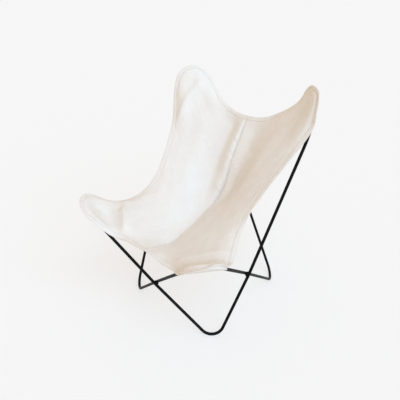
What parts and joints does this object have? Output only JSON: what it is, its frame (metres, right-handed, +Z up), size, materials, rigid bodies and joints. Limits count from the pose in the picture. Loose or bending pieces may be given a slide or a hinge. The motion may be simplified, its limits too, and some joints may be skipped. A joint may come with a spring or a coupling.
{
  "type": "butterfly sling chair",
  "caption": "Low lounge chair: a natural white canvas sling hangs by pocketed ears from bent black steel rod loops that are welded where they cross.",
  "frame": {"origin": "on the floor, under the middle of the chair's width and depth", "axes": "+Z up, the sitter faces -Y, +X is the sitter's left"},
  "size_m": [0.7018, 0.7188, 0.8982],
  "materials": {
    "frame_paint": "satin black paint on round steel rod",
    "weld_paint": "satin black paint over the weld",
    "sling_canvas": "plain weave cotton canvas, natural white",
    "pocket_canvas": "plain weave cotton canvas, natural white",
    "strip_canvas": "canvas tape, natural white"
  },
  "bodies": {
    "root": {"rod_loop_left": "frame_paint", "rod_loop_right": "frame_paint", "weld_front": "weld_paint", "weld_rear": "weld_paint", "weld_left": "weld_paint", "weld_right": "weld_paint", "sling_panel_left": "sling_canvas", "sling_panel_right": "sling_canvas", "pocket_front_left": "pocket_canvas", "pocket_front_right": "pocket_canvas", "pocket_rear_left": "pocket_canvas", "pocket_rear_right": "pocket_canvas", "facing_front": "strip_canvas", "facing_top": "strip_canvas", "facing_left": "strip_canvas", "facing_right": "strip_canvas", "seam_tape": "strip_canvas"}
  },
  "joints": []
}
